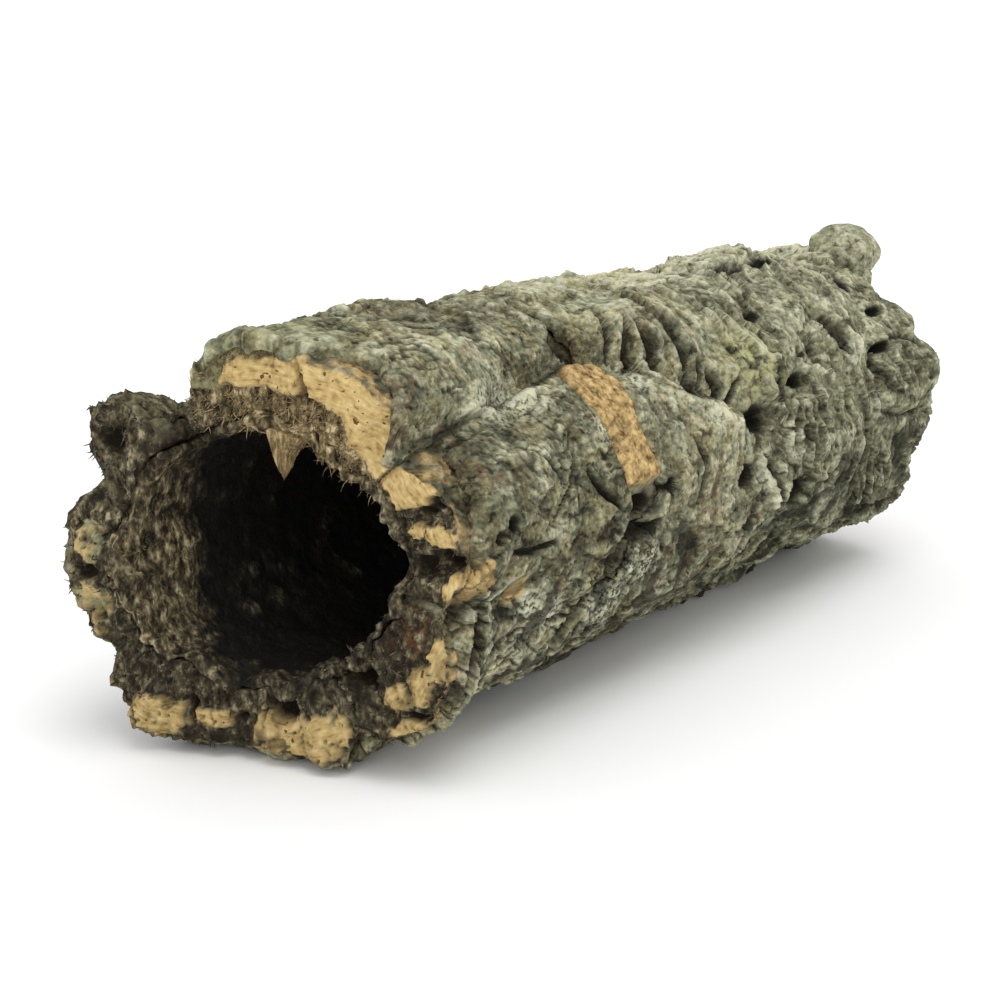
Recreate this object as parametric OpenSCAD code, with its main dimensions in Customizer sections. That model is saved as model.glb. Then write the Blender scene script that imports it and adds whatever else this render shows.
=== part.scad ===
// Cork bark tube hideout: a hollow length of cork oak bark lying on its side.
// The wall has three grown layers. A dark inner bark lines the hollow, six ribs of tan
// cork stand round it with open fissures between them, and grey outer bark covers each
// rib in two plates, with bare cork at the cut ends and at the break between the plates.
// Every layer is cut from one grid of columns (round the tube) and rows (along it), so
// neighbouring layers share their faces. The tube lies along Y with its front mouth at -Y.

/* [Tube] */
// Length of the tube along its middle
tube_length = 365; // [260:1:450]
// Width of the hollow between the cork ribs
hollow_width = 98; // [76:1:130]
// Height of the hollow between the cork ribs
hollow_height = 94; // [74:1:124]
// How far the middle of the hollow lies above the middle of the tube
hollow_rise = 3; // [0:0.5:6]
// Thickness of the whole wall, before the crowns and fissures of the ribs
wall_thickness = 26; // [23:0.5:36]
// How much thinner the wall is at the rear end
rear_thinning = 4; // [0:0.5:6]
// Squareness of the outside, where 2 is an ellipse
outside_squareness = 2.3; // [2:0.1:3.5]

/* [Layers] */
// Thickness of the dark inner bark
lining_thickness = 4; // [2:0.5:6]
// Thickness of the grey bark on the crown of a rib
bark_thickness = 6; // [3:0.5:8]
// Thickness of the grey bark at the edges of a rib
bark_edge = 2; // [1.5:0.25:3]
// Width of the closed fissure between two ribs
fissure_gap = 0.5; // [0.3:0.1:2]
// Thickness of the cork that is left under the deepest fissure
cork_least = 2; // [1:0.25:4]
// Height of the swells and hollows along the ribs
swell_height = 2.5; // [0:0.25:4]
// Height of the raised flakes and lumps of the bark
lump_height = 4.5; // [0:0.25:6]
// Depth of the flat that the tube rests on
rest_flat = 1; // [0.5:0.25:2]

/* [Ends] */
// Angle by which the front cut leans back on the right
front_lean = 15; // [0:1:25]
// Angle by which the rear cut leans forward on the right
rear_lean = 4; // [0:1:20]
// Depth of the ragged notches in both cut ends
end_raggedness = 4; // [0:0.5:8]
// Depth by which the inner bark is torn back from the front cut
lining_setback = 2.5; // [0.5:0.25:3.5]
// Length over which the ribs flare at the front end
flare_length = 60; // [30:1:120]
// Width of the split beside the roof at the front end
split_width = 15; // [1:0.5:18]
// Length of that split
split_length = 120; // [40:1:180]

// Length of the tongue to which the right shoulder narrows behind its break
tongue_length = 90; // [60:1:160]

/* [Details] */
// Length of the splinter that hangs in the front mouth
splinter_length = 16; // [6:1:24]
// Height of the branch knob on the rear of the roof
knob_height = 12; // [4:0.5:20]

/* [Hidden] */

cork_colour = "burlywood";
lining_colour = "#4a3c2e";
splinter_colour = "#b39a74";
front_bark_colour = "#6f7160";
rear_bark_colour = "#7d806c";
knob_colour = "#8b8c7a";

// The ribs, counted anticlockwise round the front mouth from the lower right
right_foot = 0;
right_shoulder = 1;
roof = 2;
left_shoulder = 3;
left_wall = 4;
floor_rib = 5;
rib_count = 6;

// Where each rib starts, in degrees from the right: at the front, at the breaks, at the rear
start_front = [301, 352, 401, 480, 515, 573];
start_break = [301, 347, 412, 480, 526, 573];
start_rear = [301, 344, 376, 480, 525, 573];
// Columns of the grid in each rib
columns = [6, 7, 10, 6, 6, 10];
// How far each rib's crown stands out at the front and at the rear
crown_height_front = [-9, 0, 10, -7, -2, 1];
crown_height_rear = [0, 0, -6, -3, 0, 6];
// How much further each rib stands out at the very front
flare_height = [14, 0, 2, 12, 0, 9];
// Share of the flare length over which each rib flares
flare_share = [1, 1, 1, 0.6, 1, 1];
// How deep the fissure before each rib is: at the front, at the breaks, at the rear
fissure_depth_front = [10, 12, 13, 14, 13, 12];
fissure_depth_break = [10, 2, 13, 14, 13, 12];
fissure_depth_rear = [8, 1, 3, 12, 12, 10];
// Bare cork behind the front cut on each rib
front_bare_length = [8, 4, 12, 5, 6, 8];
// Bare cork ahead of the rear cut on all ribs
rear_bare_length = 5;
// Where the bark of each rib breaks, from the front cut, and how wide that break is
break_length = [72, 116, 130, 150, 120, 165];
break_gap = [3, 19, 4, 3, 3, 3];
// The same lengths on an average rib, which place the rows for the shapes along the tube
usual_bare_length = 7;
usual_break_length = 130;
usual_break_gap = 5;

// Raised flakes, lumps and hollows of the bark: share of the length and angle where each one is, its
// half length and half angle, and its height as a share of the lump height
lumps = [
    [0.795, 78, 0.08, 13, 0.9],
    [0.5, 92, 0.035, 13, 0.7],
    [0.473, 47, 0.045, 17, 0.8],
    [0.615, 36, 0.065, 13, 0.8],
    [0.807, 31, 0.045, 12, 0.8],
    [0.914, 17, 0.08, 18, 0.9],
    [0.59, 26, 0.05, 10, 1],
    [0.605, 14, 0.045, 8, -1.1],
    [0.505, 30, 0.035, 8, -0.9],
    [0.436, 60, 0.035, 15, 0.7],
    [0.65, 62, 0.045, 13, 0.6],
    [0.75, 50, 0.045, 12, 0.6],
    [0.689, 24, 0.045, 8, -1],
    [0.885, 84, 0.055, 22, -1.5],
    [0.965, 106, 0.07, 18, -1.6],
    [0.225, 97, 0.07, 13, 0.7],
    [0.095, 128, 0.07, 20, -1.2],
    [0.66, -42, 0.19, 18, -0.8]
];

// Turn of the rear end's notches and of the hollow's swells against those of the front and the outside
rear_phase = 140;
hollow_phase = 90;

// Rows of the grid: front strip, front plate, break, rear plate, rear strip
front_rows = 6;
rear_rows = 13;
front_plate = [1, 1 + front_rows];
rear_plate = [2 + front_rows, 2 + front_rows + rear_rows];
rows = 3 + front_rows + rear_rows;

half_width = hollow_width / 2 + wall_thickness;
half_height = hollow_height / 2 + wall_thickness - hollow_rise;
rest_height = half_height + crown_height_front[floor_rib] - rest_flat;
front_lean_depth = half_width * tan(front_lean);
rear_lean_depth = half_width * tan(rear_lean);

// General helpers
function mix(a, b, u) = a + (b - a) * u;
function ease(u) = let (c = max(0, min(1, u))) c * c * (3 - 2 * c);
function next(rib) = (rib + 1) % rib_count;
function previous(rib) = (rib + rib_count - 1) % rib_count;

// A value of one rib at its middle that meets its neighbours halfway at its edges
function shared(values, rib, s) = s < 0.5
    ? mix((values[previous(rib)] + values[rib]) / 2, values[rib], 2 * s)
    : mix(values[rib], (values[rib] + values[next(rib)]) / 2, 2 * s - 1);

// Place of a row between a front and a rear end
function row_place(row, front, rear, bare, break_share, gap) = let (
        break_y = mix(front, rear, break_share)
    )
    row == 0 ? front :
    row <= front_plate[1] ? mix(front + bare, break_y - gap / 2, (row - 1) / front_rows) :
    row <= rear_plate[1] ?
        mix(break_y + gap / 2, rear - rear_bare_length, (row - rear_plate[0]) / rear_rows) :
    rear;

// Share of the tube's length at which a row lies on an average rib
break_share = usual_break_length / tube_length;
function along(row) =
    row_place(row, 0, tube_length, usual_bare_length, break_share, usual_break_gap) / tube_length;

// A value of a rib at a place along the tube, from its values at the front, the breaks and the rear
function staged(front, breaks, rear, rib, t) = let (r = rib % rib_count)
    t < break_share
        ? mix(front[r], breaks[r], ease(t / break_share))
        : mix(breaks[r], rear[r], ease((t - break_share) * tube_length / tongue_length));

// Angle where a rib starts, with the ribs counted past one turn
function rib_start(rib, t) = staged(start_front, start_break, start_rear, rib, t)
    + (rib >= rib_count ? 360 : 0);

// Depth of the fissure on the nearer side of a rib
function fissure(rib, s, t) = staged(
    fissure_depth_front, fissure_depth_break, fissure_depth_rear, s < 0.5 ? rib : rib + 1, t
);

// Half the opening between a rib and the one before it, in degrees
function half_gap(rib, t) = let (
        closed = fissure_gap / 2,
        split = rib % rib_count == left_shoulder
            ? split_width / 2 * (1 - ease(t * tube_length / split_length)) : 0
    ) atan((closed + split) / half_height);

// Angle of a column of a rib
function angle(rib, s, t) = mix(
    rib_start(rib, t) + half_gap(rib, t),
    rib_start(rib + 1, t) - half_gap(rib + 1, t),
    s
);

// The cut ends, leaning and ragged
function ragged(a) = end_raggedness * (0.55 * sin(3 * a + 20) + 0.45 * sin(7 * a + 75));
function front_end(a) = -tube_length / 2 + front_lean_depth * cos(a) + ragged(a);
function rear_end(a) = tube_length / 2 - rear_lean_depth * cos(a) + ragged(a + rear_phase);

// Place of a row in Y
function row_y(rib, s, row, a) = row_place(
    row, front_end(a), rear_end(a),
    shared(front_bare_length, rib, s), shared(break_length, rib, s) / tube_length, shared(break_gap, rib, s)
);

// Distance from the middle of the tube to an oval of the given half sizes
function oval(a, half_w, half_h, power) =
    pow(pow(abs(cos(a)) / half_w, power) + pow(abs(sin(a)) / half_h, power), -1 / power);

// The same to an ellipse whose middle lies higher than the tube's
function raised_oval(a, half_w, half_h, rise) = let (
        u = cos(a) / half_w,
        v = sin(a) / half_h,
        lift = rise / half_h
    ) (v * lift + sqrt(u * u * (1 - lift * lift) + v * v)) / (u * u + v * v);

// Rounded section of a rib, from 0 at its edges to 1 at its crown
function crown(s) = pow(1 - pow(abs(2 * s - 1), 2.4), 0.6);

function swell(a, t) = swell_height
    * (0.6 * sin(4 * a + 410 * t) * sin(760 * t + 40) + 0.4 * sin(9 * a - 900 * t));

function turn_between(a, b) = abs((a - b + 900) % 360 - 180);
function lump(l, a, t) = l[4] * ease(2 - 2 * norm([(t - l[0]) / l[2], turn_between(a, l[1]) / l[3]]));
function relief(a, t) = lump_height * [for (l = lumps) lump(l, a, t)] * [for (l = lumps) 1];

// Radii of the layer faces, from the inside out
function hollow_radius(a, t) =
    raised_oval(a, hollow_width / 2, hollow_height / 2, hollow_rise) + swell(a + hollow_phase, 1 - t) / 2;
function lining_radius(a, t) = hollow_radius(a, t) - lining_thickness;
function bark_radius(rib, s, a, t) = let (
        wall_loss = rear_thinning * t,
        c = crown(s),
        flare = flare_height[rib] * (1 - ease(t * tube_length / (flare_length * flare_share[rib]))),
        stand_out = mix(crown_height_front[rib], crown_height_rear[rib], t) + flare + swell(a, t),
        grown = oval(a, half_width - wall_loss, half_height - wall_loss, outside_squareness)
            + stand_out * c - fissure(rib, s, t) * (1 - c) + relief(a, t),
        least = hollow_radius(a, t) + cork_least + mix(bark_edge, bark_thickness, c),
        reach_down = (rest_height + rest_flat) / max(-sin(a), 0.01)
    ) min(max(grown, least), reach_down);
function cork_radius(rib, s, a, t) =
    bark_radius(rib, s, a, t) - mix(bark_edge, bark_thickness, crown(s));

// Faces of the grid that a layer can lie between
lining_face = 0;
hollow_face = 1;
cork_face = 2;
bark_face = 3;

function face_radius(face, rib, s, a, t) =
    face == lining_face ? lining_radius(a, t) :
    face == hollow_face ? hollow_radius(a, t) :
    face == cork_face ? cork_radius(rib, s, a, t) :
    bark_radius(rib, s, a, t);

// One point of the grid
function grid_point(face, rib, column, row) = let (
        s = column / columns[rib],
        t = along(row),
        a = angle(rib, s, t),
        r = face_radius(face, rib, s, a, t)
    ) [r * cos(a), row_y(rib, s, row, a), r * sin(a)];

// A sheet of one rib's points, row by row
function sheet(face, rib, row_range, column_range) = [
    for (row = [row_range[0] : row_range[1]])
        [for (column = [column_range[0] : column_range[1]]) grid_point(face, rib, column, row)]
];

// A point on the torn front edge of the inner bark, between the first two rows
function torn_point(face, rib, column) = let (
        front = grid_point(face, rib, column, 0),
        behind = grid_point(face, rib, column, 1),
        a = atan2(front[2], front[0]),
        tear = lining_setback * (0.6 + 0.4 * sin(11 * a))
    ) mix(front, behind, tear / (behind[1] - front[1]));

// The inner bark's points run from the split once round the hollow, so it is open at the split
lining_order = [left_shoulder, left_wall, floor_rib, right_foot, right_shoulder, roof];
function lining_sheet(face) = [
    [for (rib = lining_order, column = [0 : columns[rib]]) torn_point(face, rib, column)],
    for (row = [1 : rows])
        [for (rib = lining_order, column = [0 : columns[rib]]) grid_point(face, rib, column, row)]
];

// The part's origin is under the middle of its box, on the surface that it rests on
outer_points = [
    for (rib = [0 : rib_count - 1], column = [0 : columns[rib]], row = [0 : rows])
        grid_point(row == 0 || row == rows ? cork_face : bark_face, rib, column, row)
];
function middle(axis) = let (values = [for (p = outer_points) p[axis]]) (min(values) + max(values)) / 2;
origin_shift = [-middle(0), -middle(1), rest_height];

// Closed solid between an inner and an outer sheet
module sheet_solid(inner, outer) {
    last_row = len(outer) - 1;
    last_column = len(outer[0]) - 1;
    width = last_column + 1;
    inside = (last_row + 1) * width;
    function o(c, r) = r * width + c;
    function i(c, r) = inside + r * width + c;
    polyhedron(
        points = concat([for (r = outer) each r], [for (r = inner) each r]),
        faces = [
            for (c = [0 : last_column - 1], r = [0 : last_row - 1]) each [
                [o(c, r), o(c + 1, r), o(c + 1, r + 1)],
                [o(c, r), o(c + 1, r + 1), o(c, r + 1)],
                [i(c, r), i(c + 1, r + 1), i(c + 1, r)],
                [i(c, r), i(c, r + 1), i(c + 1, r + 1)]
            ],
            for (c = [0 : last_column - 1]) each [
                [o(c, 0), i(c, 0), i(c + 1, 0)],
                [o(c, 0), i(c + 1, 0), o(c + 1, 0)],
                [o(c, last_row), i(c + 1, last_row), i(c, last_row)],
                [o(c, last_row), o(c + 1, last_row), i(c + 1, last_row)]
            ],
            for (r = [0 : last_row - 1]) each [
                [i(0, r), o(0, r), o(0, r + 1)],
                [i(0, r), o(0, r + 1), i(0, r + 1)],
                [i(last_column, r), o(last_column, r + 1), o(last_column, r)],
                [i(last_column, r), i(last_column, r + 1), o(last_column, r + 1)]
            ]
        ]
    );
}

// The loop of points round the edge of a sheet, and their middle
function rim(base) = let (last_row = len(base) - 1, last_column = len(base[0]) - 1) [
    for (c = [0 : last_column]) base[0][c],
    for (r = [1 : last_row]) base[r][last_column],
    for (c = [last_column - 1 : -1 : 0]) base[last_row][c],
    for (r = [last_row - 1 : -1 : 1]) base[r][0]
];
function rim_indices(base) = let (last_row = len(base) - 1, width = len(base[0])) [
    for (c = [0 : width - 1]) c,
    for (r = [1 : last_row]) r * width + width - 1,
    for (c = [width - 2 : -1 : 0]) last_row * width + c,
    for (r = [last_row - 1 : -1 : 1]) r * width
];
function mean(points) = [for (axis = [0 : 2]) mean_of([for (p = points) p[axis]])];
function mean_of(values) = values * [for (v = values) 1] / len(values);

// Solid that grows from a sheet through rings to a tip. Each ring is the sheet's rim, carried
// a share of the reach and spread about its middle: [share of the reach, spread].
module growth(base, reach, rings, inward) {
    loop = rim(base);
    loop_at = rim_indices(base);
    count = len(loop);
    centre = mean(loop);
    base_count = len(base) * len(base[0]);
    width = len(base[0]);
    ring_points = [
        for (ring = rings, p = loop) centre + ring[0] * reach + ring[1] * (p - centre)
    ];
    tip = base_count + len(ring_points);
    function at(level, k) = level == 0
        ? loop_at[k % count] : base_count + (level - 1) * count + k % count;
    faces = [
        for (c = [0 : width - 2], r = [0 : len(base) - 2]) let (b = r * width + c) each [
            [b, b + width + 1, b + 1],
            [b, b + width, b + width + 1]
        ],
        for (level = [0 : len(rings) - 1], k = [0 : count - 1]) each [
            [at(level, k), at(level, k + 1), at(level + 1, k + 1)],
            [at(level, k), at(level + 1, k + 1), at(level + 1, k)]
        ],
        for (k = [0 : count - 1]) [at(len(rings), k), at(len(rings), k + 1), tip]
    ];
    polyhedron(
        points = concat([for (r = base) each r], ring_points, [centre + reach]),
        faces = inward ? [for (f = faces) [f[0], f[2], f[1]]] : faces
    );
}

module placed() {
    translate(origin_shift) children();
}

// Keeps what lies above the surface that the tube rests on
module above_rest() {
    reach = 2 * (half_width + half_height);
    difference() {
        children();
        translate([-reach / 2, -tube_length, -reach]) cube([reach, 2 * tube_length, reach]);
    }
}

module cork(rib) {
    color(cork_colour)
        placed() sheet_solid(
            sheet(hollow_face, rib, [0, rows], [0, columns[rib]]),
            sheet(cork_face, rib, [0, rows], [0, columns[rib]])
        );
}

module bark(rib, plate) {
    color(plate == front_plate ? front_bark_colour : rear_bark_colour)
        placed() sheet_solid(
            sheet(cork_face, rib, plate, [0, columns[rib]]),
            sheet(bark_face, rib, plate, [0, columns[rib]])
        );
}

module inner_bark_lining() {
    color(lining_colour)
        placed() sheet_solid(lining_sheet(lining_face), lining_sheet(hollow_face));
}

// Curved splinter of inner bark that hangs from the torn front edge under the roof
splinter_columns = [3, 5];
splinter_slant = [-0.3, -0.1, -1];
splinter_rings = [[0.3, 0.75], [0.6, 0.5], [0.85, 0.22]];
module hanging_splinter() {
    front = [for (column = [splinter_columns[0] : splinter_columns[1]])
        torn_point(lining_face, roof, column)];
    behind = sheet(lining_face, roof, [1, 1], splinter_columns);
    color(splinter_colour)
        placed() growth(concat([front], behind), splinter_length * splinter_slant, splinter_rings, true);
}

// Stub of a branch, grown over by bark, on the rear end of the roof
knob_columns = [4, 6];
knob_rows = [rear_plate[1] - 1, rear_plate[1]];
knob_slant = [0.3, 0.9, 1];
knob_rings = [[0.3, 1.1], [0.7, 1.12], [0.94, 0.75]];
module branch_knob() {
    color(knob_colour)
        placed() growth(
            sheet(bark_face, roof, knob_rows, knob_columns), knob_height * knob_slant, knob_rings, false
        );
}

inner_bark_lining();
cork(right_foot);  // right_foot_cork
cork(right_shoulder);  // right_shoulder_cork
cork(roof);  // roof_cork
cork(left_shoulder);  // left_shoulder_cork
cork(left_wall);  // left_wall_cork
cork(floor_rib);  // floor_cork
above_rest() bark(right_foot, front_plate);  // right_foot_front_bark
above_rest() bark(right_foot, rear_plate);  // right_foot_rear_bark
bark(right_shoulder, front_plate);  // right_shoulder_front_bark
bark(right_shoulder, rear_plate);  // right_shoulder_rear_bark
bark(roof, front_plate);  // roof_front_bark
bark(roof, rear_plate);  // roof_rear_bark
bark(left_shoulder, front_plate);  // left_shoulder_front_bark
bark(left_shoulder, rear_plate);  // left_shoulder_rear_bark
bark(left_wall, front_plate);  // left_wall_front_bark
bark(left_wall, rear_plate);  // left_wall_rear_bark
above_rest() bark(floor_rib, front_plate);  // floor_front_bark
above_rest() bark(floor_rib, rear_plate);  // floor_rear_bark
hanging_splinter();
branch_knob();
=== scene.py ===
import math
import random

import bmesh
import bpy
import numpy as np
from mathutils import Matrix, Vector, noise


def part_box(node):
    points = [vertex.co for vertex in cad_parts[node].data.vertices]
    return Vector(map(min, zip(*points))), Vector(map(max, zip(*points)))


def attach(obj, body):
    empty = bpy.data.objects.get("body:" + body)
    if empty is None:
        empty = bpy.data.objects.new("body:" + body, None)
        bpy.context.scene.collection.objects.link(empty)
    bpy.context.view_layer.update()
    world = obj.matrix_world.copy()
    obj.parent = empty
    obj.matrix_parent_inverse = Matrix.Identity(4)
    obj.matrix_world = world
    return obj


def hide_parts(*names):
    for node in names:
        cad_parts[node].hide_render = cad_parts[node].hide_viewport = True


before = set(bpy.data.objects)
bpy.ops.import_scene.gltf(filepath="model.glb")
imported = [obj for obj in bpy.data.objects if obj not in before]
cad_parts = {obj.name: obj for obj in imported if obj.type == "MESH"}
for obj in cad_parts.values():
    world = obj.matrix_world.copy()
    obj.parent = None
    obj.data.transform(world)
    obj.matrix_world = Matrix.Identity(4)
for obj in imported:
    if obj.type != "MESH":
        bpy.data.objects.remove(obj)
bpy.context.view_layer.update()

print("frame loaded:", len(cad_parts), "nodes")

# everything below is worked out in millimetres and scaled down when a mesh is written
mm = 0.001
liningLow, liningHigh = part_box("inner_bark_lining")
axisX = (liningLow.x + liningHigh.x) / 2 / mm
axisZ = 70.0
skinRadius = 70.0  # the outside is unrolled at this radius
hollow = dict(halfWidth=49.0, halfHeight=47.0, middle=73.0)
cutLean = dict(cork=26, edge=24, lining=20)  # how far the front cut leans back to the right


def smoothstep(low, high, x):
    t = np.clip((x - low) / (high - low), 0, 1)
    return t * t * (3 - 2 * t)


def fade(low, high, x):
    return 1 - smoothstep(low, high, x)


def fbm(points, size, octaves, seed):
    # Blender's fractal noise at every point, roughly -1 to 1; size is in mm, one or three numbers
    shifted = points / np.asarray(size, float) + seed * 13.7
    return np.array([noise.fractal(p, 1.0, 2.0, octaves) for p in shifted.tolist()])


def cells(points, size):
    # cracked plates: how far each point is from the border of its cell, and the cell's own tone
    border, tone = [], []
    for p in (points / np.asarray(size, float)).tolist():
        near, middles = noise.voronoi(p)
        border.append(near[1] - near[0])
        tone.append(noise.noise(middles[0] * 5.3))
    return np.array(border), np.array(tone)


def tubePlaces(co):
    dx = co[:, 0] - axisX
    dz = co[:, 2] - axisZ
    return np.degrees(np.arctan2(dz, dx)), np.hypot(dx, dz)


def skinPoints(y, angle):
    turn = np.radians(angle)
    return np.column_stack([skinRadius * np.cos(turn), y, skinRadius * np.sin(turn)])


def arcOf(angle):
    return np.radians(angle) * skinRadius


def ovalDistance(y, arc, spot):
    # 0 in the middle of an oval on the unrolled outside, 1 on its rim
    return np.hypot((y - spot["y"]) / spot["along"], (arc - arcOf(spot["angle"])) / spot["across"])


def squared(y, angle, lean):
    # y as it would be if the front cut, which leans back to the right by lean mm, were square
    return y - lean * np.cos(np.radians(angle))


def strokeDistance(y, arc, path):
    # distance to a line drawn on the unrolled outside, path = [(y, angle), ...], how far along it,
    # and 1 behind the line or above it, -1 before it or below
    best = np.full(len(y), 1e6)
    share = np.zeros(len(y))
    side = np.ones(len(y))
    points = [(py, arcOf(pa)) for py, pa in path]
    for k in range(len(points) - 1):
        (y0, a0), (y1, a1) = points[k], points[k + 1]
        dy, da = y1 - y0, a1 - a0
        t = np.clip(((y - y0) * dy + (arc - a0) * da) / (dy * dy + da * da), 0, 1)
        d = np.hypot(y - y0 - t * dy, arc - a0 - t * da)
        closer = d < best
        best[closer] = d[closer]
        share[closer] = (k + t[closer]) / (len(points) - 1)
        beyond = y - y0 - t * dy if abs(da) > abs(dy) else arc - a0 - t * da
        side[closer] = np.where(beyond > 0, 1, -1)[closer]
    return best, share, side


def addObject(name, data):
    made = bpy.data.objects.new(name, data)
    bpy.context.scene.collection.objects.link(made)
    return made


def softCopy(node, name, grain, rounds):
    # a fine, softened copy of a CAD node, ready to be sculpted, with its points in mm and its normals
    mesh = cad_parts[node].data.copy()
    bm = bmesh.new()
    bm.from_mesh(mesh)
    bmesh.ops.remove_doubles(bm, verts=bm.verts, dist=0.00001)
    bm.to_mesh(mesh)
    bm.free()
    mesh.materials.clear()
    piece = addObject(name, mesh)
    remesh = piece.modifiers.new("remesh", "REMESH")
    remesh.mode = "VOXEL"
    remesh.voxel_size = grain * mm
    soften = piece.modifiers.new("soften", "SMOOTH")
    soften.factor = 0.5
    soften.iterations = rounds
    evaluated = piece.evaluated_get(bpy.context.evaluated_depsgraph_get())
    fine = bpy.data.meshes.new_from_object(evaluated)
    piece.modifiers.clear()
    piece.data = fine
    return piece, *readMesh(piece)


def readMesh(piece):
    mesh = piece.data
    co = np.zeros(len(mesh.vertices) * 3, np.float32)
    mesh.vertices.foreach_get("co", co)
    normal = np.zeros(len(mesh.vertices) * 3, np.float32)
    mesh.vertex_normals.foreach_get("vector", normal)
    return co.reshape(-1, 3).astype(float) / mm, normal.reshape(-1, 3).astype(float)


def writeMesh(piece, co, **fields):
    mesh = piece.data
    co = co.copy()
    co[:, 2] = np.maximum(co[:, 2], 0.0)  # nothing below the surface it rests on
    mesh.vertices.foreach_set("co", (co * mm).astype(np.float32).ravel())
    for name, values in fields.items():
        attribute = mesh.attributes.new(name, "FLOAT", "POINT")
        attribute.data.foreach_set("value", np.asarray(values, np.float32))
    mesh.shade_smooth()
    mesh.update()


def settle(piece, node, material):
    piece.data.materials.append(material)
    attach(piece, "root")
    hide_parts(node)


# colours, written as they look in sRGB
def rgb(r, g, b):
    def linear(c):
        c = c / 255
        return c / 12.92 if c <= 0.04045 else ((c + 0.055) / 1.055) ** 2.4
    return (linear(r), linear(g), linear(b), 1)


def addNode(tree, kind, inputs=None, **settings):
    made = tree.nodes.new("ShaderNode" + kind)
    for key, value in settings.items():
        setattr(made, key, value)
    for key, value in (inputs or {}).items():
        if isinstance(value, bpy.types.NodeSocket):
            tree.links.new(value, made.inputs[key])
        else:
            made.inputs[key].default_value = value
    return made


def addRamp(tree, fac, stops):
    ramp = addNode(tree, "ValToRGB", {"Fac": fac})
    elements = ramp.color_ramp.elements
    elements[0].position, elements[0].color = stops[0]
    elements[1].position, elements[1].color = stops[-1]
    for position, colour in stops[1:-1]:
        elements.new(position).color = colour
    return ramp.outputs["Color"]


def addMix(tree, fac, a, b):
    mixed = addNode(tree, "Mix", {0: fac, 6: a, 7: b}, data_type="RGBA")
    return mixed.outputs[2]


def addMath(tree, operation, a, b, clamp=False):
    return addNode(tree, "Math", {0: a, 1: b}, operation=operation, use_clamp=clamp).outputs[0]


def addSum(tree, parts):
    # weighted sum of sockets
    total = None
    for socket, weight in parts:
        scaled = addMath(tree, "MULTIPLY", socket, weight)
        total = scaled if total is None else addMath(tree, "ADD", total, scaled)
    return total


def addNoise(tree, coords, size, detail, roughness=0.6):
    made = addNode(tree, "TexNoise", {
        "Vector": coords, "Scale": 1 / (size * mm), "Detail": detail, "Roughness": roughness})
    return made.outputs["Fac"]


def addStretch(tree, coords, scale):
    return addNode(tree, "Mapping", {"Vector": coords, "Scale": scale}).outputs["Vector"]


def addField(tree, name):
    return addNode(tree, "Attribute", attribute_name=name).outputs["Fac"]


def addStep(tree, value, low, high):
    return addNode(tree, "MapRange", {
        "Value": value, "From Min": low, "From Max": high},
        interpolation_type="SMOOTHSTEP").outputs["Result"]


def newMaterial(name):
    material = bpy.data.materials.new(name)
    material.use_nodes = True
    tree = material.node_tree
    shader = tree.nodes["Principled BSDF"]
    coords = addNode(tree, "TexCoord").outputs["Object"]
    return material, tree, shader, coords


def corkColour(tree, coords):
    # tan cork: streaks of growth along the cut, pores, and coarse grains where it is broken
    grain = addNode(tree, "Attribute", attribute_name="grain").outputs["Vector"]
    streak = addNoise(tree, grain, 1000, 2.0, 0.55)
    speck = addNoise(tree, coords, 2.4, 1.0, 0.5)
    tone = addSum(tree, [(streak, 0.5), (speck, 0.5)])
    smooth = addRamp(tree, tone, [
        (0.30, rgb(122, 98, 58)), (0.42, rgb(178, 151, 97)),
        (0.55, rgb(202, 176, 120)), (0.72, rgb(224, 202, 148))])
    coarse = addRamp(tree, addNoise(tree, coords, 3.4, 2.0, 0.7), [
        (0.30, rgb(88, 68, 40)), (0.42, rgb(148, 122, 78)),
        (0.53, rgb(178, 149, 98)), (0.68, rgb(210, 182, 130))])
    colour = addMix(tree, addField(tree, "coarse"), smooth, coarse)
    pores = addStep(tree, addNoise(tree, coords, 2.6, 1.0, 0.5), 0.68, 0.73)
    pores = addMath(tree, "SUBTRACT", pores, addField(tree, "coarse"), True)
    return addMix(tree, pores, colour, rgb(96, 70, 40))


def bastColour(tree, coords):
    # inner bark: dark and mossy, with cream granules where the field says so
    drawn = addStretch(tree, coords, (1.0, 1.0, 0.55))
    granule = addNoise(tree, drawn, 2.8, 2.0, 0.65)
    dull = addRamp(tree, granule, [
        (0.34, rgb(22, 18, 12)), (0.47, rgb(62, 55, 40)),
        (0.58, rgb(100, 92, 70)), (0.70, rgb(160, 150, 120))])
    light = addRamp(tree, granule, [
        (0.34, rgb(34, 28, 17)), (0.45, rgb(96, 84, 57)),
        (0.55, rgb(158, 140, 102)), (0.66, rgb(226, 208, 164))])
    colour = addMix(tree, addField(tree, "cream"), dull, light)
    shade = addStep(tree, addNoise(tree, coords, 12, 2.0), 0.48, 0.68)
    return addMix(tree, addMath(tree, "MULTIPLY", shade, 0.55), colour, rgb(34, 28, 19))


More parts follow.
